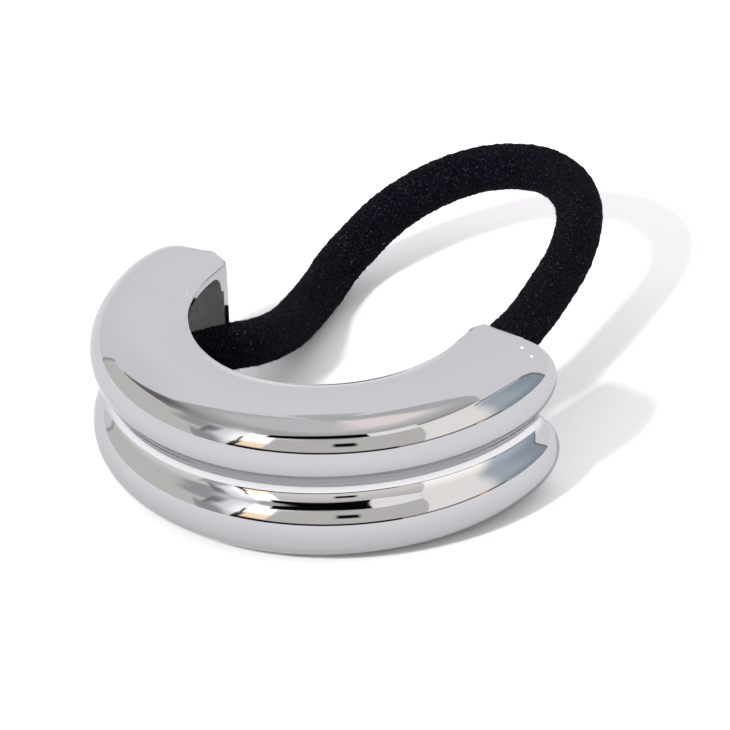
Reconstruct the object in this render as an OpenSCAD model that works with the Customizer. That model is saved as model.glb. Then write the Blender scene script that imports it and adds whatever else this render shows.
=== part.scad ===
// Ponytail cuff: a polished metal horseshoe of two round ridges, hollow and open
// along its inner side, with an elastic loop held in a plain cup inside each arm.
// It lies on its side. X is its width, Y points out of its mouth and Z is up.
// The origin is on the surface it lies on, under the middle of the cuff.

/* [Cuff] */
// Width across the outside of the arms
cuff_w = 50; // [47:0.5:56]
// Depth from the front to the tips of the arms
cuff_d = 30.2; // [29.6:0.1:31.5]
// Height, which is two ridges side by side
cuff_h = 17.6; // [17:0.1:18.4]
// Reach of each ridge outwards from its crown, half the width of an oval
ridge_w = 6.2; // [5:0.1:7]
// How far the oval of each ridge would reach past the middle of the height
ridge_past = 0.4; // [0.2:0.05:0.7]
// Depth of the round groove between the ridges
groove_d = 2; // [1.5:0.1:2.2]
// Steepest lean of a ridge's side, where it turns into the groove, in degrees
groove_lean = 44; // [40:0.5:46]
// Fall of the rounded top from the crown of a ridge to the inner side
dome = 1; // [0.6:0.1:1.2]
// Width of an arm below which that fall fades towards the tip
dome_fade = 4.3; // [2:0.1:6]
// Thickness of the band at the middle of the front
front_t = 9.6; // [9.2:0.1:10.4]
// Thickness of the metal
wall = 0.8; // [0.7:0.05:1]
// Rounding of the lips above and below the open inner side
lip_r = 0.25; // [0.15:0.05:0.35]

/* [Hollow for the ponytail] */
// Width of the hollow at its widest
gap_w = 29.2; // [28:0.1:30]
// Depth of the hollow from its front to its widest place
gap_d = 15.1; // [14.5:0.1:15.8]
// Fullness of the hollow's round front, where 2 is an ellipse
gap_full = 1.92; // [1.86:0.02:2.1]

/* [Tips of the arms] */
// Reach of the round tips past the inner corners of the arms
tip_l = 2.1; // [1.6:0.1:3]
// Distance across an arm from the outside of its ridges to its furthest point
tip_t = 2.2; // [2:0.1:3.5]
// Turn of the outline from the furthest point to the inner corner, in degrees
tip_turn = 42; // [38:1:60]
// Fullness of the outline from the side to the furthest point, where 2 is an ellipse
tip_full = 1.94; // [1.9:0.02:2.4]
// Width of the edge at the inner corner
tip_edge = 0.4; // [0.3:0.05:0.6]
// Length and height of the rounded corners of the opening near the tips
window_l = 1.4; // [1:0.1:2]
window_h = 2.6; // [1.5:0.1:3]

/* [Elastic] */
// Thickness of the elastic
elastic_d = 4.8; // [3:0.1:5]

/* [Cups] */
// Thickness of the wall of the cups that hold the elastic
cup_wall = 0.5; // [0.4:0.05:0.7]
// Depth of each cup's bore
cup_depth = 2; // [1.5:0.1:2.5]
// Room around the elastic in its cup
cup_play = 0.1; // [0.05:0.05:0.2]
// Gap between a cup and the metal it is fixed to
cup_gap = 0.3; // [0.2:0.05:0.4]

/* [Hidden] */

metal_colour = [0.78, 0.78, 0.80];
cup_colour = [0.55, 0.55, 0.56];
elastic_colour = [0.06, 0.06, 0.08];

// Outside of the ridges: a circle round the front and sides, then the tips
outer_r = cuff_w / 2;
outer_y = outer_r - cuff_d / 2;
tip_x = outer_r - tip_t;
tip_y = cuff_d / 2;

// Inner side: an oval round the front, then straight along the arms
gap_wide_y = front_t + gap_d - cuff_d / 2;

// Ridges: half the height of each oval and the height of the upper one's middle
ridge_h = (cuff_h / 2 + ridge_past) / 2;
ridge_z = cuff_h - ridge_h;
ridge_share = 0.58;
lip_share = 0.3;

// Steps of the loft: along the front, round each tip, round each ridge and into the groove
front_steps = 13;
tip_steps = 12;
top_steps = 3;
ridge_steps = 7;
groove_steps = 2;
// Angle round the inner oval at which an arm's sections start to turn round its tip
tip_start_a = -18;

// Middle line of the elastic, from the left cup round to the right cup
route = [
    [-16.8, 3.4, 8.8], [-15.2, 6.0, 8.8], [-13.6, 8.4, 8.8], [-12.6, 10.0, 8.7],
    [-12.1, 11.4, 8.4], [-11.9, 13.0, 7.8], [-12.1, 14.8, 7.1], [-12.6, 17.5, 6.0],
    [-13.3, 20.9, 4.8], [-14.1, 24.1, 3.8], [-15.0, 27.1, 3.0], [-15.8, 31.0, 2.6],
    [-16.4, 34.7, 2.7], [-16.5, 37.5, 3.5], [-15.8, 40.3, 4.8], [-14.5, 43.0, 6.6],
    [-12.8, 45.5, 8.1], [-10.6, 47.8, 9.4], [-7.9, 49.8, 10.5], [-4.9, 50.9, 11.4],
    [-1.5, 51.2, 12.1], [1.8, 50.5, 12.6], [5.0, 48.7, 12.8], [7.5, 46.3, 12.7],
    [9.3, 43.6, 12.4], [10.6, 40.5, 11.8], [11.4, 37.4, 11.1], [11.9, 34.0, 10.5],
    [12.4, 30.6, 10.1], [12.8, 27.1, 9.8], [13.0, 23.5, 9.7], [12.7, 20.2, 9.5],
    [12.2, 16.9, 9.3], [11.8, 13.6, 9.1], [12.3, 10.6, 8.9], [13.6, 8.4, 8.8],
    [15.2, 6.0, 8.8], [16.8, 3.4, 8.8]
];
elastic_sides = 10;

// Half the width of the hollow at a distance out of the mouth
function gap_x(y) = y < gap_wide_y
    ? gap_w / 2 * pow(1 - pow((gap_wide_y - y) / gap_d, gap_full), 1 / gap_full)
    : gap_w / 2;

// Place along an arm where the inner oval has an angle, which is 0 where it is widest
function gap_y(a) = gap_wide_y - gap_d * pow(-sin(a), 2 / gap_full);

// The inner corner of an arm, or the end of the hollow a little before it
function corner_y(inset) = tip_y - tip_l - inset;

// A point round the outside of a tip: u is 0 at the side, 1 at the furthest point, 2 at the corner
function tip_point(u, inset) = u < 1
    ? [tip_x + (tip_t - inset) * pow(cos(90 * u), 2 / tip_full),
       outer_y + (tip_y - outer_y - inset) * pow(sin(90 * u), 2 / tip_full)]
    : let (end = [gap_x(corner_y(inset)), corner_y(inset)],
           turn = tip_turn * (u - 1),
           run = (tip_x - end[0]) / sin(tip_turn),
           drop = (tip_y - inset - end[1]) / (1 - cos(tip_turn)))
      [tip_x - run * sin(turn), tip_y - inset - drop * (1 - cos(turn))];

// One station of the loft on the right half: its point on the inner side and its point outside
function station(i, inset) = i <= front_steps
    ? let (share = i / front_steps,
           outer_a = -90 * (1 - share),
           y = gap_y(-90 + (90 + tip_start_a) * share))
      [[i == 0 ? 0 : gap_x(y), y], [0, outer_y] + (outer_r - inset) * [cos(outer_a), sin(outer_a)]]
    : let (share = (i - front_steps) / tip_steps,
           y = gap_y(tip_start_a) + (corner_y(inset) - tip_edge - gap_y(tip_start_a)) * share)
      [[gap_x(y), y], tip_point(2 * share, inset)];

// How far the hollow closes up and down near its end, for its round corners
function closing(y, inset) =
    let (left = corner_y(inset) - tip_edge - y)
    inset == 0 || left >= window_l ? 0
        : window_h * (1 - sqrt(1 - pow(1 - max(left, 0) / window_l, 2)));

// A ridge's side turning into the groove: distance in from the outside of the ridge, then height.
// It starts along the oval where that leans enough, and ends upright at the middle of the groove.
function groove_side(u, inset) =
    let (full = ridge_w - inset,
         high = ridge_h - inset,
         lean_t = atan(tan(groove_lean) * high / full),
         start = [full * (1 - cos(lean_t)), ridge_z - high * sin(lean_t)],
         bend = [groove_d, start[1] - (groove_d - start[0]) / tan(groove_lean)])
    pow(1 - u, 2) * start + 2 * u * (1 - u) * bend + pow(u, 2) * [groove_d, cuff_h / 2];

// Upper half of a section, from the inner lip over the crown to the middle of the groove:
// distance outwards, then height
function half_section(w, inset, low) =
    let (full = ridge_w - inset,
         out = min(full, ridge_share * w),
         high = ridge_h - inset,
         lean_t = atan(tan(groove_lean) * high / full),
         lip_z = cuff_h - dome - inset - low,
         top = lip_z + dome * min(1, w / dome_fade),
         squash = (top - ridge_z) / high,
         lip = inset == 0 ? min(lip_r, lip_share * w) : 0,
         lip_steps = inset == 0 ? 2 : 0,
         land = w - out - lip,
         land_steps = top_steps + 2 - lip_steps)
    concat(
        [for (k = [0 : 1 : lip_steps - 1])
            [lip * (1 - cos(45 * k)), lip_z - lip * (1 - sin(45 * k))]],
        [for (k = [0 : land_steps - 1])
            let (share = k / land_steps)
            [lip + land * share, top - (top - lip_z) * pow(1 - share, 2)]],
        [for (k = [0 : ridge_steps])
            let (t = 90 - (90 + lean_t) * k / ridge_steps)
            [w - out + out * cos(t), ridge_z + high * (t > 0 ? squash : 1) * sin(t)]],
        [for (k = [1 : groove_steps])
            let (side = groove_side(k / groove_steps, inset))
            [w - out * side[0] / full, side[1]]]);

function section(w, inset, low) =
    let (upper = half_section(w, inset, low), n = len(upper))
    concat(upper, [for (k = [n - 2 : -1 : 0]) [upper[k][0], cuff_h - upper[k][1]]]);

// All the points of one skin, the outside or the hollow, from the left tip round to the right
function skin(inset) = [
    for (k = [-(front_steps + tip_steps) : front_steps + tip_steps])
        let (s = station(abs(k), inset), side = k < 0 ? -1 : 1,
             across = s[1] - s[0], w = norm(across), out = across / w)
        [for (p = section(w, inset, closing(s[0][1], inset)))
            [side * (s[0][0] + out[0] * p[0]), s[0][1] + out[1] * p[0], p[1]]]
];

function strip(a, b, c, d) = [[a, b, c], [a, c, d]];
function flat(rows) = [for (row = rows) for (item = row) item];

module shell() {
    outside = skin(0);
    hollow = skin(wall);
    rows = len(outside);
    cols = len(outside[0]);
    count = rows * cols;
    outer_faces = flat([for (i = [0 : rows - 2], j = [0 : cols - 2])
        strip(i * cols + j, (i + 1) * cols + j, (i + 1) * cols + j + 1, i * cols + j + 1)]);
    hollow_faces = flat([for (i = [0 : rows - 2], j = [0 : cols - 2])
        strip(count + i * cols + j, count + i * cols + j + 1,
              count + (i + 1) * cols + j + 1, count + (i + 1) * cols + j)]);
    lip_faces = flat([for (i = [0 : rows - 2]) each [
        strip(count + i * cols, count + (i + 1) * cols, (i + 1) * cols, i * cols),
        strip(i * cols + cols - 1, (i + 1) * cols + cols - 1,
              count + (i + 1) * cols + cols - 1, count + i * cols + cols - 1)]]);
    end_faces = flat([for (j = [0 : cols - 2]) each [
        strip(j, j + 1, count + j + 1, count + j),
        strip(count + count - cols + j, count + count - cols + j + 1,
              count - cols + j + 1, count - cols + j)]]);
    polyhedron(flat([flat(outside), flat(hollow)]),
               flat([outer_faces, hollow_faces, lip_faces, end_faces]), convexity = 10);
}

module cuff_shell() {
    color(metal_colour) shell();
}

// A cup on the elastic's end: its middle line is the first stretch of the route
module elastic_cup(end, next) {
    along = next - end;
    bore_r = elastic_d / 2 + cup_play;
    floor_r = outer_r - groove_d - wall - cup_gap;
    color(cup_colour) intersection() {
        translate(end) rotate([0, 90, atan2(along[1], along[0])]) difference() {
            translate([0, 0, -ridge_w]) cylinder(r = bore_r + cup_wall, h = ridge_w + cup_depth, $fn = 48);
            cylinder(r = bore_r, h = 2 * cup_depth, $fn = 48);
        }
        translate([0, outer_y, 0]) cylinder(r = floor_r, h = cuff_h, $fn = 180);
    }
}

module elastic_cup_left() {
    elastic_cup(route[0], route[1]);
}

module elastic_cup_right() {
    elastic_cup(route[len(route) - 1], route[len(route) - 2]);
}

// Sweep of a ring of points along the elastic's middle line
module hair_elastic() {
    n = len(route);
    rings = [for (i = [0 : n - 1])
        let (before = route[max(i - 1, 0)], after = route[min(i + 1, n - 1)],
             ahead = (after - before) / norm(after - before),
             side = cross(ahead, [0, 0, 1]) / norm(cross(ahead, [0, 0, 1])),
             up = cross(side, ahead))
        [for (k = [0 : elastic_sides - 1])
            let (a = 360 * k / elastic_sides)
            route[i] + elastic_d / 2 * (cos(a) * side + sin(a) * up)]];
    sides = flat([for (i = [0 : n - 2], k = [0 : elastic_sides - 1])
        let (next = (k + 1) % elastic_sides)
        strip(i * elastic_sides + k, i * elastic_sides + next,
              (i + 1) * elastic_sides + next, (i + 1) * elastic_sides + k)]);
    first = [for (k = [elastic_sides - 1 : -1 : 0]) k];
    last = [for (k = [0 : elastic_sides - 1]) (n - 1) * elastic_sides + k];
    color(elastic_colour) polyhedron(flat(rings), concat(sides, [first, last]), convexity = 6);
}

cuff_shell();
elastic_cup_left();
elastic_cup_right();
hair_elastic();
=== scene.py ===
import math
import random

import bmesh
import bpy
from mathutils import Matrix, Vector, noise


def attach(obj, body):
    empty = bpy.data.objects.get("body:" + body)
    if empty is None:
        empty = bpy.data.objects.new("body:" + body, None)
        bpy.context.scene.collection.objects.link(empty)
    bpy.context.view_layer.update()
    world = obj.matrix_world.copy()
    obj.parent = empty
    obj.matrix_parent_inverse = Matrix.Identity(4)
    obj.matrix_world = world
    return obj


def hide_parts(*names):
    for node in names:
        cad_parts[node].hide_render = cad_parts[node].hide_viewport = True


# The ponytail cuff of the photograph: a polished metal horseshoe lying on its side, with a black
# elastic loop held inside its arms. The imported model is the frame, and everything here is in its
# metres: X across the cuff, Y out of its mouth, Z up from the floor.
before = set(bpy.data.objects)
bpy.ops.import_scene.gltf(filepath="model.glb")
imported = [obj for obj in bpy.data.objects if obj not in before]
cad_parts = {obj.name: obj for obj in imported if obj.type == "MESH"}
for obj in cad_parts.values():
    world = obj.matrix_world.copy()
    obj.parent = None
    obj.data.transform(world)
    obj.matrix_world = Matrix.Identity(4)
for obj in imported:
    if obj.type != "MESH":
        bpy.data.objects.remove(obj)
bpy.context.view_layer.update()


# ---------------------------------------------------------------- camera
# The photograph's own angle: a long lens from the front right, looking down at 30 degrees, with the
# picture turned a little.
azimuth, elevation, turn = math.radians(32.5), math.radians(30.14), math.radians(-2.5)
distance, pixels_per_metre = 1.45, 9820.0
target, target_pixel, picture_size = Vector((0, 0, 0.0095)), (284.36, 412.21), 730
sensor_width = 36

back = Vector((math.sin(azimuth) * math.cos(elevation), -math.cos(azimuth) * math.cos(elevation),
               math.sin(elevation)))
right = Vector((math.cos(azimuth), math.sin(azimuth), 0))
up = back.cross(right)
right, up = (right * math.cos(turn) + up * math.sin(turn),
             up * math.cos(turn) - right * math.sin(turn))
camera = bpy.data.objects.new("camera", bpy.data.cameras.new("camera"))
bpy.context.scene.collection.objects.link(camera)
camera.data.sensor_width = sensor_width
camera.data.lens = pixels_per_metre * distance / picture_size * sensor_width
camera.data.clip_start, camera.data.clip_end = 0.1, 20
camera.matrix_world = Matrix((right, up, back)).transposed().to_4x4()
camera.location = (target + back * distance
                   - right * ((target_pixel[0] - picture_size / 2) / pixels_per_metre)
                   - up * ((picture_size / 2 - target_pixel[1]) / pixels_per_metre))
bpy.context.scene.camera = camera


# ---------------------------------------------------------------- elastic loop
# A round rubber core covered with black yarn, 4.8 mm thick. It leaves the hollow of the left arm,
# stands out in a loop by its own stiffness, and goes into the hollow of the right arm, where a cup
# inside each arm holds its end. The yarn lies in fine ribs across it and sheds short fibres.
MM = 0.001  # the pieces' sizes are in millimetres
elastic_d = 4.8 * MM
elastic_sides, route_parts = 48, 20
elastic_route = [
    (-16.8, 3.4, 8.8), (-15.2, 6.0, 8.8), (-13.6, 8.4, 8.8), (-12.6, 10.0, 8.7),
    (-12.1, 11.4, 8.4), (-11.9, 13.0, 7.8), (-12.1, 14.8, 7.1), (-12.6, 17.5, 6.0),
    (-13.3, 20.9, 4.8), (-14.1, 24.1, 3.8), (-15.0, 27.1, 3.0), (-15.8, 31.0, 2.6),
    (-16.4, 34.7, 2.7), (-16.5, 37.5, 3.5), (-15.8, 40.3, 4.8), (-14.5, 43.0, 6.6),
    (-12.8, 45.5, 8.1), (-10.6, 47.8, 9.4), (-7.9, 49.8, 10.5), (-4.9, 50.9, 11.4),
    (-1.5, 51.2, 12.1), (1.8, 50.5, 12.6), (5.0, 48.7, 12.8), (7.5, 46.3, 12.7),
    (9.3, 43.6, 12.4), (10.6, 40.5, 11.8), (11.4, 37.4, 11.1), (11.9, 34.0, 10.5),
    (12.4, 30.6, 10.1), (12.8, 27.1, 9.8), (13.0, 23.5, 9.7), (12.7, 20.2, 9.5),
    (12.2, 16.9, 9.3), (11.8, 13.6, 9.1), (12.3, 10.6, 8.9), (13.6, 8.4, 8.8),
    (15.2, 6.0, 8.8), (16.8, 3.4, 8.8),
]


def elastic_middle_line(points, parts):
    """The route as a smooth line, with this many parts between each two points."""
    p = [Vector(q) * MM for q in points]
    p = [2 * p[0] - p[1]] + p + [2 * p[-1] - p[-2]]
    line = []
    for a, b, c, d in zip(p, p[1:], p[2:], p[3:]):
        for k in range(parts):
            t = k / parts
            line.append(0.5 * (2 * b + (c - a) * t + (2 * a - 5 * b + 4 * c - d) * t * t
                               + (3 * b - a - 3 * c + d) * t ** 3))
    return line + [p[-2]]


def node_maker(tree):
    """A function that adds a node to a tree and sets or links its sockets."""
    def add(kind, values=(), **settings):
        node = tree.nodes.new(kind)
        for setting, value in settings.items():
            setattr(node, setting, value)
        for socket, value in dict(values).items():
            if isinstance(value, bpy.types.NodeSocket):
                tree.links.new(value, node.inputs[socket])
            else:
                node.inputs[socket].default_value = value
        return node

    return add


def material(name, roughness=0.5, metallic=0.0):
    """A new procedural material, its shader, its maker of nodes and its links."""
    made = bpy.data.materials.new(name)
    made.use_nodes = True
    shader = made.node_tree.nodes["Principled BSDF"]
    shader.inputs["Roughness"].default_value = roughness
    shader.inputs["Metallic"].default_value = metallic
    return made, shader, node_maker(made.node_tree), made.node_tree.links


def ramp(add, factor, stops):
    """A colour ramp on a factor, with stops of (place, colour)."""
    node = add("ShaderNodeValToRGB", {"Fac": factor})
    node.color_ramp.elements[0].position, node.color_ramp.elements[0].color = stops[0]
    node.color_ramp.elements[1].position, node.color_ramp.elements[1].color = stops[-1]
    for place, colour in stops[1:-1]:
        node.color_ramp.elements.new(place).color = colour
    return node.outputs["Color"]


def relief(add, links, shader, height, strength, depth):
    """Makes a surface look uneven, by a height from 0 to 1 and its greatest depth."""
    bump = add("ShaderNodeBump", {"Height": height, "Strength": strength, "Distance": depth})
    links.new(bump.outputs["Normal"], shader.inputs["Normal"])


def finished(bm, name):
    """A bmesh as an object of the scene."""
    mesh = bpy.data.meshes.new(name)
    bm.to_mesh(mesh)
    bm.free()
    made = bpy.data.objects.new(name, mesh)
    bpy.context.scene.collection.objects.link(made)
    return made


def new_edges_of(made, ring):
    """The edges of a new ring among what an extrusion made."""
    return [g for g in made
            if isinstance(g, bmesh.types.BMEdge) and all(v in ring for v in g.verts)]


# The skin: a circle carried along the route, its points pushed in or out by coarse and fine yarn.
# Each has its size and how far it pushes, as a share of the radius.
elastic_line = elastic_middle_line(elastic_route, route_parts)
coarse_yarn, fine_yarn = (0.9 * MM, 0.024), (0.34 * MM, 0.044)
bm = bmesh.new()
along_layer = bm.verts.layers.float.new("along")
place = bm.verts.layers.int.new("place")
ring = bmesh.ops.create_circle(bm, cap_ends=False, segments=elastic_sides,
                               radius=elastic_d / 2)["verts"]
circle = [v.co.copy() for v in ring]
for n, v in enumerate(ring):
    v[place] = n
ring_edges = list({e for v in ring for e in v.link_edges})
travelled = 0.0
for i, middle in enumerate(elastic_line):
    before, after = elastic_line[max(i - 1, 0)], elastic_line[min(i + 1, len(elastic_line) - 1)]
    ahead = (after - before).normalized()
    side = ahead.cross(Vector((0, 0, 1))).normalized()
    rise = side.cross(ahead)
    if i:
        travelled += (middle - elastic_line[i - 1]).length
        made = bmesh.ops.extrude_edge_only(bm, edges=ring_edges)["geom"]
        ring = [g for g in made if isinstance(g, bmesh.types.BMVert)]
        ring_edges = new_edges_of(made, ring)
    for v in ring:
        at = circle[v[place]]
        even = middle + side * at.x + rise * at.y
        uneven = sum(share * noise.noise(even / size) for size, share in (coarse_yarn, fine_yarn))
        v.co = even + (even - middle) * uneven
        v[along_layer] = travelled
    if i == 0:
        first_edges = ring_edges
bmesh.ops.holes_fill(bm, edges=first_edges + ring_edges, sides=0)
bmesh.ops.recalc_face_normals(bm, faces=bm.faces)
for f in bm.faces:
    f.smooth = len(f.verts) == 4

# Short loose fibres standing off the yarn. The skin's faces are put in order first, because each
# run makes them in another order.
bm.verts.index_update()
skin = sorted((f for f in bm.faces if len(f.verts) == 4),
              key=lambda f: sorted(v.index for v in f.verts))
fibre_count, short_share, fibre_half_width = 18000, 0.98, 0.016 * MM
short_fibre, long_fibre = (0.1 * MM, 0.32 * MM), (0.35 * MM, 0.9 * MM)
# Each is a thin blade: how far it stands off, how far it leans over and how wide it is, at its
# root, its bend and its tip, as shares of its reach and of its width
blade_shape = ((0, 0, 1.15), (0.419375, 0.33275, 0.6), (0.65, 1.1, 0.15))
random.seed(7)
for n in range(fibre_count):
    face = skin[random.randrange(len(skin))]
    root, normal = face.calc_center_median(), face.normal.copy()
    lean = Vector((random.gauss(0, 1), random.gauss(0, 1), random.gauss(0, 1)))
    lean = (lean - normal * lean.dot(normal)).normalized()
    reach = random.uniform(*(short_fibre if random.random() < short_share else long_fibre))
    wide = normal.cross(lean).normalized() * fibre_half_width
    blade = []
    for off, over, width in blade_shape:
        at = root + normal * (reach * off) + lean * (reach * over)
        at.z = max(at.z, 0)
        blade.append((bm.verts.new(at - wide * width), bm.verts.new(at + wide * width)))
    for (a, b), (c, d) in zip(blade, blade[1:]):
        f = bm.faces.new((a, b, d, c))
        f.material_index = 1
        f.smooth = True
elastic = finished(bm, "hair_elastic_covered")

yarn, shader, add, links = material("black_covered_elastic", roughness=0.9)
along = add("ShaderNodeAttribute", attribute_name="along").outputs["Fac"]
point = add("ShaderNodeTexCoord").outputs["Object"]
fluff = add("ShaderNodeTexNoise",
            {"Vector": point, "Scale": 4200.0, "Detail": 4.0, "Roughness": 0.7}).outputs["Fac"]
# Ribs of yarn across the elastic, half lost in the fluff
rib_apart = 0.4 * MM
wander = add("ShaderNodeTexNoise", {"Vector": point, "Scale": 1300.0, "Detail": 2.0}).outputs["Fac"]
turns = 2 * math.pi / rib_apart
phase = add("ShaderNodeMath", {0: along, 1: turns}, operation="MULTIPLY").outputs[0]
phase = add("ShaderNodeMath", {0: wander, 1: 9.0, 2: phase}, operation="MULTIPLY_ADD").outputs[0]
ribs = add("ShaderNodeMath", {0: phase}, operation="SINE").outputs[0]
height = add("ShaderNodeMath", {0: ribs, 1: 0.38, 2: fluff}, operation="MULTIPLY_ADD").outputs[0]
relief(add, links, shader, height, strength=1.0, depth=0.12 * MM)
# Black with a little blue, and a few paler ends of yarn
yarn_colours = [(0.40, (0.0014, 0.0012, 0.0028, 1)), (0.58, (0.0056, 0.0054, 0.0092, 1)),
                (0.68, (0.034, 0.034, 0.045, 1))]
links.new(ramp(add, fluff, yarn_colours), shader.inputs["Base Color"])
shader.inputs["Specular IOR Level"].default_value = 0.03
elastic.data.materials.append(yarn)

fibre, shader, add, links = material("loose_fibres", roughness=0.9)
point = add("ShaderNodeTexCoord").outputs["Object"]
shade = add("ShaderNodeTexNoise", {"Vector": point, "Scale": 2600.0, "Detail": 1.0}).outputs["Fac"]
fibre_colours = [(0.46, (0.002, 0.002, 0.004, 1)), (0.64, (0.007, 0.007, 0.011, 1)),
                 (0.73, (0.20, 0.20, 0.23, 1))]
links.new(ramp(add, shade, fibre_colours), shader.inputs["Base Color"])
shader.inputs["Specular IOR Level"].default_value = 0.03
elastic.data.materials.append(fibre)

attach(elastic, "root")
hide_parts("hair_elastic")


# ---------------------------------------------------------------- cuff
# One hollow casting of metal, polished and plated outside: two round ridges with a groove between
# them run round the front and close at the tips of the arms. It is open along its whole inner side,
# and the inside keeps a dull grey finish. The wall is 0.8 mm thick.
outer_r, cuff_d, cuff_h, front_t = 25.0, 30.2, 17.6, 9.6
ridge_w, ridge_past, groove_d, groove_lean = 6.2, 0.4, 2.0, math.radians(44)
dome, dome_fade = 1.0, 4.3
wall, lip_r, gap_w, gap_d, gap_full = 0.8, 0.25, 29.2, 15.1, 1.92
tip_l, tip_t, tip_turn, tip_full, tip_edge = 2.1, 2.2, math.radians(42), 1.94, 0.4
arch_l, arch_h = 1.4, 2.1
outer_y = outer_r - cuff_d / 2
tip_x, tip_y = outer_r - tip_t, cuff_d / 2
gap_wide_y = front_t + gap_d - cuff_d / 2
ridge_h = (cuff_h / 2 + ridge_past) / 2
ridge_z = cuff_h - ridge_h
ridge_share, ridge_least, lip_share, land_w = 0.58, 0.45, 0.3, 6
front_steps, tip_steps, tip_start = 54, 44, math.radians(-18)
lip_steps, land_steps, ridge_steps, groove_steps = 9, 9, 28, 12


def hollow_half_width(y):
    """Half the width of the horseshoe's hollow at a distance out of its mouth."""
    if y >= gap_wide_y:
        return gap_w / 2
    return gap_w / 2 * max(0.0, 1 - ((gap_wide_y - y) / gap_d) ** gap_full) ** (1 / gap_full)


def hollow_depth(angle):
    """Place along an arm where the inner oval has an angle, 0 where it is widest."""
    return gap_wide_y - gap_d * (-math.sin(angle)) ** (2 / gap_full)


def round_tip(u, inset):
    """A point round the outside of a tip: 0 at the side, 1 at the far end, 2 at the corner."""
    if u < 1:
        a = u * math.pi / 2
        return (tip_x + (tip_t - inset) * max(0.0, math.cos(a)) ** (2 / tip_full),
                outer_y + (tip_y - outer_y - inset) * math.sin(a) ** (2 / tip_full))
    corner = tip_y - tip_l - inset
    turned = tip_turn * (u - 1)
    run = (tip_x - hollow_half_width(corner)) / math.sin(tip_turn)
    drop = (tip_y - inset - corner) / (1 - math.cos(tip_turn))
    return tip_x - run * math.sin(turned), tip_y - inset - drop * (1 - math.cos(turned))


def inner_and_outer(i, inset):
    """A section's ends on the inner side and on the outside, on the right half."""
    if i <= front_steps:
        share = i / front_steps
        outer_a = -math.pi / 2 * (1 - share)
        y = hollow_depth(-math.pi / 2 + (math.pi / 2 + tip_start) * share)
        r = outer_r - inset
        inner = (0.0 if i == 0 else hollow_half_width(y), y)
        return inner, (r * math.cos(outer_a), outer_y + r * math.sin(outer_a))
    share = (i - front_steps) / tip_steps
    start, end = hollow_depth(tip_start), tip_y - tip_l - inset - tip_edge
    y = start + (end - start) * share
    return (hollow_half_width(y), y), round_tip(2 * share, inset)


def half_profile(w, inset, low):
    """Upper half of a section, as distance outwards and height: lip, crown, ridge and groove."""
    full, high = ridge_w - inset, ridge_h - inset
    out = min(full, ridge_share * w * min(1, ridge_least + (1 - ridge_least) * w / ridge_w))
    lean_t = math.atan(math.tan(groove_lean) * high / full)
    lip_z = cuff_h - dome - inset - low
    top = lip_z + dome * min(1, w / dome_fade)
    squash = (top - ridge_z) / high
    lip = 0 if inset else min(lip_r, lip_share * w)
    points = []
    for k in range(0 if inset else lip_steps):
        a = math.pi / 2 * k / lip_steps
        points.append((lip * (1 - math.cos(a)), lip_z - lip * (1 - math.sin(a))))
    fall = 1 + min(1, (w / land_w) ** 2)
    for k in range(land_steps):
        share = k / land_steps
        points.append((lip + (w - out - lip) * share, top - (top - lip_z) * (1 - share) ** fall))
    for k in range(ridge_steps + 1):
        t = math.pi / 2 - (math.pi / 2 + lean_t) * k / ridge_steps
        rise = high * (squash if t > 0 else 1)
        points.append((w - out + out * math.cos(t), ridge_z + rise * math.sin(t)))
    start = (full * (1 - math.cos(lean_t)), ridge_z - high * math.sin(lean_t))
    bend = (groove_d, start[1] - (groove_d - start[0]) / math.tan(groove_lean))
    for k in range(1, groove_steps + 1):
        u = k / groove_steps
        inward = (1 - u) ** 2 * start[0] + 2 * u * (1 - u) * bend[0] + u * u * groove_d
        z = (1 - u) ** 2 * start[1] + 2 * u * (1 - u) * bend[1] + u * u * cuff_h / 2
        points.append((w - out * inward / full, z))
    return points


def cuff_section(k, inset):
    """All the points of one skin of the cuff at station k, negative on the left arm."""
    (ix, iy), (ox, oy) = inner_and_outer(abs(k), inset)
    w = math.hypot(ox - ix, oy - iy)
    dx, dy = (ox - ix) / w, (oy - iy) / w
    left = tip_y - tip_l - inset - tip_edge - iy
    low = 0  # the hollow's roof comes down in an arch at the tips
    if inset and left < arch_l:
        low = arch_h * (1 - math.sqrt(max(0, 1 - (1 - max(left, 0) / arch_l) ** 2)))
    upper = half_profile(w, inset, low)
    both = upper + [(d, cuff_h - z) for d, z in reversed(upper[:-1])]
    side = -1 if k < 0 else 1
    return [Vector((side * (ix + dx * d), iy + dy * d, z)) * MM for d, z in both]


# Both skins of the casting are one loop of points, carried from the left tip to the right one
stations = range(-(front_steps + tip_steps), front_steps + tip_steps + 1)
bm = bmesh.new()
place = bm.verts.layers.int.new("place")
outside, inside = cuff_section(stations[0], 0), cuff_section(stations[0], wall)
loop = []
for n, at in enumerate(outside + inside[::-1]):
    v = bm.verts.new(at)
    v[place] = n
    loop.append(v)
loop_edges = [bm.edges.new((a, b)) for a, b in zip(loop, loop[1:] + loop[:1])]
outside_count = len(outside)


def end_wall(edges):
    """Closes the end of a tip between the outside and the hollow."""
    outer = [e for e in edges if max(v[place] for v in e.verts) < outside_count]
    inner = [e for e in edges if min(v[place] for v in e.verts) >= outside_count]
    bmesh.ops.bridge_loops(bm, edges=outer + inner)


first_edges = loop_edges
for k in stations[1:]:
    points = cuff_section(k, 0) + cuff_section(k, wall)[::-1]
    made = bmesh.ops.extrude_edge_only(bm, edges=loop_edges)["geom"]
    loop = [g for g in made if isinstance(g, bmesh.types.BMVert)]
    loop_edges = new_edges_of(made, loop)
    for v in loop:
        v.co = points[v[place]]
end_wall(first_edges)
end_wall(loop_edges)
bmesh.ops.recalc_face_normals(bm, faces=bm.faces)
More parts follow.
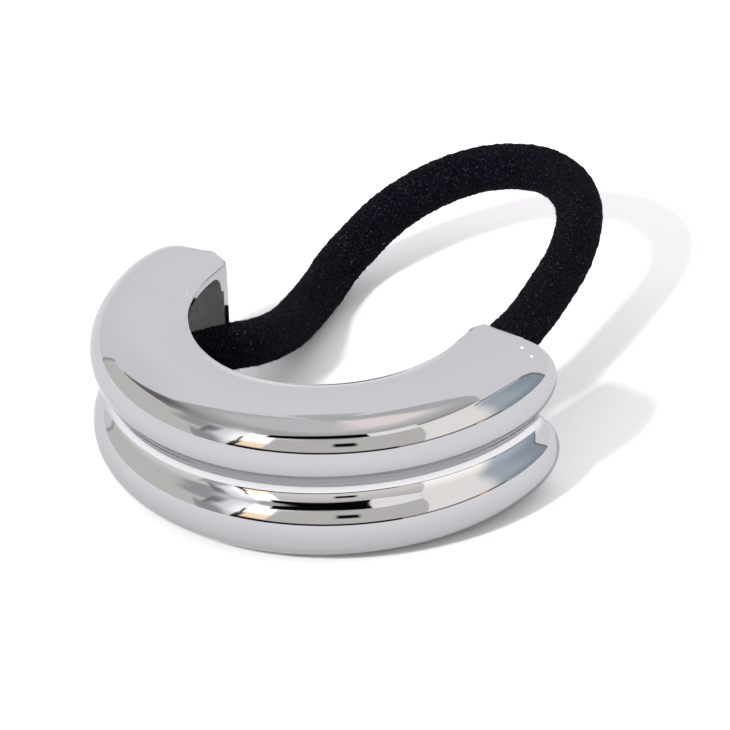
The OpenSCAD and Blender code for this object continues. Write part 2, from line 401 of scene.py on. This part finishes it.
# The dull finish starts at the lip along the hollow, and not at the tips' end walls
arch_y = (tip_y - tip_l - tip_edge - wall - arch_l) * MM
for f in bm.faces:
    f.smooth = True
    places = {v[place] for v in f.verts}
    is_lip = (len(places) == 2 and max(places) - min(places) in (1, 2 * outside_count - 1)
              and max(places) >= outside_count > min(places)
              and f.calc_center_median().y < arch_y)
    f.material_index = 1 if is_lip or min(places) >= outside_count else 0
sharp_turn = math.radians(28)
for e in bm.edges:
    finishes = {f.material_index for f in e.link_faces}
    if len(e.link_faces) == 2 and (len(finishes) == 2 or e.calc_face_angle(0) > sharp_turn):
        e.smooth = False
cuff = finished(bm, "cuff_polished")

chrome, shader, add, links = material("polished_plating", roughness=0.03, metallic=1.0)
# Seen edge-on, the plating mirrors a little less than pure metal
shader.inputs["Specular Tint"].default_value = (0.76, 0.76, 0.76, 1)
point = add("ShaderNodeTexCoord").outputs["Object"]
cloud = add("ShaderNodeTexNoise", {"Vector": point, "Scale": 60.0, "Detail": 2.0}).outputs["Fac"]
metal = ramp(add, cloud, [(0.35, (0.417, 0.417, 0.428, 1)), (0.7, (0.428, 0.428, 0.439, 1))])
# Painted light: the plating's colour is made lighter round the groove's middle, to brighten the
# dark band that the groove mirrors
height = add("ShaderNodeSeparateXYZ", {0: point}).outputs["Z"]
off_middle = add("ShaderNodeMath", {0: height, 1: cuff_h / 2 * MM}, operation="SUBTRACT").outputs[0]
off_middle = add("ShaderNodeMath", {0: off_middle}, operation="ABSOLUTE").outputs[0]
painted_groove_light = add("ShaderNodeMapRange",
            {"Value": off_middle, "From Min": 0.4 * MM, "From Max": 1.3 * MM,
             "To Min": 0.155, "To Max": 0.0}, interpolation_type="SMOOTHSTEP").outputs[0]
# the painted lighter band is added to the metal's colour here
links.new(add("ShaderNodeVectorMath", {0: metal, 1: painted_groove_light}, operation="ADD").outputs[0],
          shader.inputs["Base Color"])
grain = add("ShaderNodeTexNoise", {"Vector": point, "Scale": 2600.0, "Detail": 4.0}).outputs["Fac"]
rubbed = add("ShaderNodeMapRange",
             {"Value": grain, "From Min": 0.4, "From Max": 0.75, "To Min": 0.022, "To Max": 0.06})
links.new(rubbed.outputs[0], shader.inputs["Roughness"])
wave = add("ShaderNodeTexNoise", {"Vector": point, "Scale": 95.0, "Detail": 1.0}).outputs["Fac"]
relief(add, links, shader, wave, strength=0.12, depth=0.05 * MM)
cuff.data.materials.append(chrome)

dull, shader, add, links = material("dull_hollow", roughness=0.5, metallic=0.25)
point = add("ShaderNodeTexCoord").outputs["Object"]
cloud = add("ShaderNodeTexNoise", {"Vector": point, "Scale": 160.0, "Detail": 4.0}).outputs["Fac"]
dust = add("ShaderNodeTexNoise", {"Vector": point, "Scale": 3000.0, "Detail": 2.0}).outputs["Fac"]
dust = ramp(add, dust, [(0.60, (0, 0, 0, 1)), (0.70, (0.24, 0.24, 0.23, 1))])
base = ramp(add, cloud, [(0.3, (0.61, 0.605, 0.60, 1)), (0.7, (0.70, 0.695, 0.69, 1))])
links.new(add("ShaderNodeVectorMath", {0: base, 1: dust}, operation="ADD").outputs[0],
          shader.inputs["Base Color"])
relief(add, links, shader, cloud, strength=0.25, depth=0.08 * MM)
cuff.data.materials.append(dull)

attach(cuff, "root")
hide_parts("cuff_shell")


# ---------------------------------------------------------------- cups
# A plain turned steel cup inside each arm, fixed to the shell's outer wall, with the elastic's end
# glued in its bore. They are hidden in the hollow, and their CAD solids are shown as they are.
steel, shader, add, links = material("satin_steel_cup", roughness=0.35, metallic=1.0)
point = add("ShaderNodeTexCoord").outputs["Object"]
lines = add("ShaderNodeMapping", {"Vector": point, "Scale": (400.0, 400.0, 9000.0)}).outputs[0]
turned = add("ShaderNodeTexNoise", {"Vector": lines, "Scale": 1.0, "Detail": 3.0}).outputs["Fac"]
steel_colours = [(0.3, (0.19, 0.19, 0.195, 1)), (0.7, (0.30, 0.30, 0.305, 1))]
links.new(ramp(add, turned, steel_colours), shader.inputs["Base Color"])
relief(add, links, shader, turned, strength=0.3, depth=0.02 * MM)
for name in ("elastic_cup_left", "elastic_cup_right"):
    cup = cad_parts[name]
    for slot in cup.material_slots:
        slot.material = steel


# ---------------------------------------------------------------- floor and light
# A plain white sheet to lie on, in a white light tent: the polished metal mirrors its roof, the
# grey and white cards in front and the gaps between them. A bright panel throws the shadows.
floor_half = 6
bm = bmesh.new()
bmesh.ops.create_grid(bm, x_segments=1, y_segments=1, size=floor_half)
floor = finished(bm, "floor")
paper, shader, add, links = material("white_sheet", roughness=0.9)
shader.inputs["Base Color"].default_value = (0.945, 0.94, 0.957, 1)
shader.inputs["Specular IOR Level"].default_value = 0.1
floor.data.materials.append(paper)

key = bpy.data.objects.new("key", bpy.data.lights.new("key", "SUN"))
bpy.context.scene.collection.objects.link(key)
key.data.energy, key.data.angle = 2.95, math.radians(6)
key_az, key_el = math.radians(-5), math.radians(37.6)
toward_key = Vector((math.sin(key_az) * math.cos(key_el), -math.cos(key_az) * math.cos(key_el),
                     math.sin(key_el)))
key.matrix_world = toward_key.to_track_quat("Z", "Y").to_matrix().to_4x4()
key.visible_glossy = False

world = bpy.data.worlds.new("tent")
bpy.context.scene.world = world
world.use_nodes = True
links = world.node_tree.links
world.node_tree.nodes.clear()
tent_node = node_maker(world.node_tree)
to_degrees = 180 / math.pi


def tent_math(operation, *values):
    """The outcome of a sum on numbers and outputs."""
    return tent_node("ShaderNodeMath", dict(enumerate(values)), operation=operation).outputs[0]


direction = tent_node("ShaderNodeTexCoord").outputs["Generated"]
dx, dy, dz = tent_node("ShaderNodeSeparateXYZ", {0: direction}).outputs
to_front = tent_math("MULTIPLY", dy, -1.0)
card_az = tent_math("MULTIPLY", tent_math("ARCTAN2", dx, to_front), to_degrees)
card_el = tent_math("MULTIPLY", tent_math("ARCSINE", dz), to_degrees)


def ramp_up(value, edge, soft):
    """0 below edge and 1 above it, with a soft change round it."""
    return tent_node("ShaderNodeMapRange",
                     {"Value": value, "From Min": edge - soft / 2, "From Max": edge + soft / 2},
                     interpolation_type="SMOOTHSTEP").outputs[0]


def card(behind, az, el, colour, soft, soft_el, tilt=0.0, top=(0.0, 0.0), bottom=(0.0, 0.0)):
    """A card of the tent as the cuff sees it: az[0] to az[1] round it and el[0] to el[1] up, in
    degrees. Its sides lean by tilt, and its top and bottom edges each have a rise to the right and
    an arch. The softness of its sides and of its bottom and top is one number each, or a pair."""
    soft = soft if isinstance(soft, tuple) else (soft, soft)
    soft_el = soft_el if isinstance(soft_el, tuple) else (soft_el, soft_el)
    middle, half = (az[0] + az[1]) / 2, (az[1] - az[0]) / 2
    place = card_az
    if tilt:
        upright = tent_math("ADD", card_az, tilt * (el[0] + el[1]) / 2)
        place = tent_math("MULTIPLY_ADD", card_el, -tilt, upright)
    shown = tent_math("MULTIPLY", ramp_up(place, az[0], soft[0]),
                      tent_math("SUBTRACT", 1.0, ramp_up(place, az[1], soft[1])))
    for edge, (rise, arch), is_top in ((el[0], bottom, False), (el[1], top, True)):
        level = card_el
        if rise or arch:
            across = tent_math("MULTIPLY_ADD", place, 1 / half, -middle / half)
            bent = tent_math("MULTIPLY_ADD", tent_math("MULTIPLY", across, across), arch, -arch)
            level = tent_math("ADD", tent_math("MULTIPLY_ADD", across, -rise, card_el), bent)
        over = ramp_up(level, edge, soft_el[1 if is_top else 0])
        shown = tent_math("MULTIPLY", shown, tent_math("SUBTRACT", 1.0, over) if is_top else over)
    node = tent_node("ShaderNodeMix", {0: shown}, data_type="RGBA")
    links.new(behind, node.inputs[6])
    node.inputs[7].default_value = (*colour, 1)
    return node.outputs[2]


tent = tent_node("ShaderNodeRGB")
tent.outputs[0].default_value = (1.21, 1.21, 1.245, 1)
seen = tent.outputs[0]
# The tent's left side and back, a little darker than its roof
seen = card(seen, (-185, -90), (78, 86), (0.84, 0.84, 0.85), 20, 4)
seen = card(seen, (-120, -60), (-4, 45), (1.13, 1.13, 1.16), (34, 10), (5, 20))
# The roof in front, grey at its sides and a little warm where the light comes through
seen = card(seen, (-75.5, 100), (54, 83), (0.80, 0.79, 0.80), (2.5, 30), (4, 9), tilt=-0.2)
seen = card(seen, (-185, 185), (83.5, 95), (0.80, 0.79, 0.80), 1, 3)
seen = card(seen, (60, 148), (44, 90), (0.79, 0.78, 0.78), (20, 2.5), (4, 1), tilt=1.33)
seen = card(seen, (-73.5, 118), (40, 62), (0.74, 0.73, 0.72), (2, 8), (4, 8))
seen = card(seen, (-62, 122), (57, 84), (0.96, 0.94, 0.94), (30, 18), (10, 10), top=(-4, 0))
seen = card(seen, (44, 116), (64, 84), (1.45, 1.30, 1.26), (40, 16), (9, 9), top=(-3, 0))
# The left wall: a dark fold that starts in a point, and the beige board below it
seen = card(seen, (-81.6, -40), (22.5, 48), (0.53, 0.525, 0.53), (1.5, 16), (2, 14), tilt=0.89)
seen = card(seen, (-81.6, -66), (22.5, 44), (0.24, 0.23, 0.23), (1.5, 16), (2, 12), tilt=0.89)
seen = card(seen, (-58, -40), (31, 36), (1.02, 1.01, 1.02), 8, 4, top=(0, 0), bottom=(-2, 0))
seen = card(seen, (-100.5, -33), (-4, 19.3), (0.962, 0.942, 0.891), (1.2, 2), 1.5, tilt=0.1,
            top=(3.7, 14.0))
seen = card(seen, (-101.3, -99.6), (-4, 18), (0.60, 0.58, 0.57), 1.2, 2, tilt=0.1)
seen = card(seen, (-52, -27), (25, 38), (0.58, 0.57, 0.58), (12, 5), (6, 6))
seen = card(seen, (-34, -29.5), (-4, 34), (0.30, 0.29, 0.30), (2, 9), 4)
# The white panels in front, the warm light between them and their dark edges
seen = card(seen, (-24, -12), (-4, 43), (1.44, 1.42, 1.45), (8, 2), (6, 14))
seen = card(seen, (-19, -12), (14, 38), (1.90, 1.88, 1.88), (6, 2), (9, 12))
seen = card(seen, (-36, -21), (-4, 17), (0.54, 0.52, 0.53), (2, 9), (2, 12), tilt=-0.3)
seen = card(seen, (-13.5, 0.5), (3, 42), (2.3, 2.25, 2.15), 1.5, 3)
seen = card(seen, (-13.5, 0.5), (3, 21), (1.90, 1.45, 1.02), (1.5, 1.5), (2, 9))
seen = card(seen, (-13.5, 0.5), (-4, 7), (0.30, 0.28, 0.34), 1.5, 5)
seen = card(seen, (-17.2, -13.8), (-4, 17), (0.12, 0.09, 0.075), 1.5, (2, 8), tilt=0.2)
seen = card(seen, (-14.6, -13.2), (12, 30), (0.24, 0.20, 0.17), 0.8, (4, 6))
# The grey board in front and the white one at the right
seen = card(seen, (0, 73.5), (3, 37.5), (0.90, 0.87, 0.84), (1.5, 1.2), 1.5, tilt=0.15,
            top=(1.3, 4.5))
seen = card(seen, (46, 80), (42.5, 51), (1.50, 1.46, 1.42), (4, 3), (2, 3))
seen = card(seen, (78, 117), (44.5, 48.5), (0.50, 0.48, 0.46), 3, 2, top=(-1.5, 1),
            bottom=(-1.5, 1))
seen = card(seen, (74.2, 114), (3, 45.5), (1.48, 1.42, 1.36), (1.2, 4), 2, tilt=0.15, top=(-1, 1))
# The blue wall far at the right, with its dark edges
seen = card(seen, (107.5, 127), (-4, 36.5), (0.66, 0.75, 0.82), (12, 10), 1.5, tilt=0.1,
            top=(-1, 3.0))
seen = card(seen, (120, 142.3), (-4, 35), (0.66, 0.75, 0.82), (10, 2), 1.5, tilt=-0.26,
            top=(-4, 3.0))
seen = card(seen, (130, 142.3), (-4, 35), (0.47, 0.55, 0.63), (20, 2), 1.5, tilt=-0.26, top=(-4, 0))
seen = card(seen, (114, 145.6), (-4, 9), (0.44, 0.51, 0.59), (12, 2), (2, 14), tilt=-0.26)
seen = card(seen, (110, 138), (36, 37.6), (0.22, 0.22, 0.22), 3, 1.5, top=(-3.5, 4.0),
            bottom=(-3.5, 4.0))
seen = card(seen, (142.3, 144.8), (-4, 33), (0.30, 0.31, 0.32), 1.8, 3, tilt=-0.26)
# The black gaps over and under the boards, and a hole in the grey one
seen = card(seen, (-4, 50), (40.5, 47.7), (0.003, 0.003, 0.004), 2, 1.5, top=(3.3, 3.8),
            bottom=(2.5, 3.0))
seen = card(seen, (-17, 60), (0.3, 5.8), (0.01, 0.01, 0.015), 3, 2)
seen = card(seen, (60, 112), (1.2, 4.6), (0.24, 0.21, 0.20), 3, 2)
seen = card(seen, (97, 101), (1, 6), (1.2, 0.72, 0.42), 1.5, 2)
seen = card(seen, (30.5, 41.5), (21.5, 31), (0.01, 0.01, 0.01), 3, 3)
# Two small lamps behind
lamp_half_az, lamp_half_el, lamp_white = 1.3, 1.2, (4.0, 4.0, 4.0)
for lamp_az, lamp_el in ((167, 28), (-176, 31)):
    seen = card(seen, (lamp_az - lamp_half_az, lamp_az + lamp_half_az),
                (lamp_el - lamp_half_el, lamp_el + lamp_half_el), lamp_white, 1.5, 1.5)

# The metal mirrors the tent a little brighter than the sheet is lit by it, and the camera sees
# plain white behind the sheet
path = tent_node("ShaderNodeLightPath")
mirror_gain = 0.145
strength = tent_math("MULTIPLY_ADD", path.outputs["Is Diffuse Ray"], -mirror_gain, 1 + mirror_gain)
mirror = tent_node("ShaderNodeBackground", {"Strength": strength})
links.new(seen, mirror.inputs["Color"])
plain = tent_node("ShaderNodeBackground", {"Color": (1, 1, 1, 1), "Strength": 1.0})
both = tent_node("ShaderNodeMixShader")
links.new(path.outputs["Is Camera Ray"], both.inputs[0])
links.new(mirror.outputs[0], both.inputs[1])
links.new(plain.outputs[0], both.inputs[2])
links.new(both.outputs[0], tent_node("ShaderNodeOutputWorld").inputs["Surface"])

view_settings = bpy.context.scene.view_settings
view_settings.view_transform, view_settings.look = "Standard", "None"
view_settings.exposure, view_settings.gamma = 0, 1
